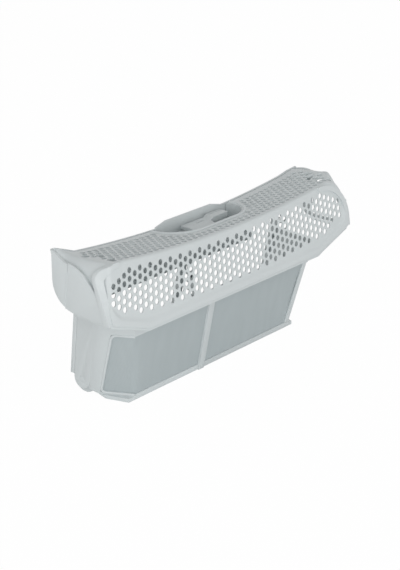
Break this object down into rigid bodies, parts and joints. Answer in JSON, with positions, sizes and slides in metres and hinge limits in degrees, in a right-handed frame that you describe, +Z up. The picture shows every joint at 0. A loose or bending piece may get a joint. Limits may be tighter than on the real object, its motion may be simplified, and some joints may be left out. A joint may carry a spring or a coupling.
{
  "type": "tumble dryer lint filter",
  "caption": "Long lint filter with a perforated cover that curves up at its ends, a tapering mesh pocket below and a hinged rear half with a thumb latch.",
  "frame": {"origin": "on the pocket's flat base, at the middle of the length of the grille", "axes": "+X along the length to the right-hand end seen from the grille, +Y to the hinged rear half, +Z up"},
  "size_m": [0.3025, 0.0776, 0.1329],
  "materials": {
    "housing_plastic": "fine satin moulding",
    "filter_mesh": "fine woven mesh"
  },
  "bodies": {
    "front_half": {"grille_cover": "housing_plastic", "pocket_frame": "housing_plastic", "front_mesh_left": "filter_mesh", "front_mesh_right": "filter_mesh"},
    "rear_half": {"rear_frame": "housing_plastic", "rear_mesh_left": "filter_mesh", "rear_mesh_right": "filter_mesh"},
    "latch": {"latch_hook": "housing_plastic"}
  },
  "joints": [
    {"name": "rear_hinge", "type": "hinge", "parent": "front_half", "child": "rear_half", "pos_m": [0, 0.01261, 0.0128], "axis": [-1, 0, 0], "range_deg": [0, 95]},
    {"name": "latch_press", "type": "hinge", "parent": "front_half", "child": "latch", "pos_m": [0.004, -0.0185, 0.11], "axis": [-1, 0, 0], "range_deg": [0, 9], "stiffness_Nm_per_rad": 0.3}
  ]
}
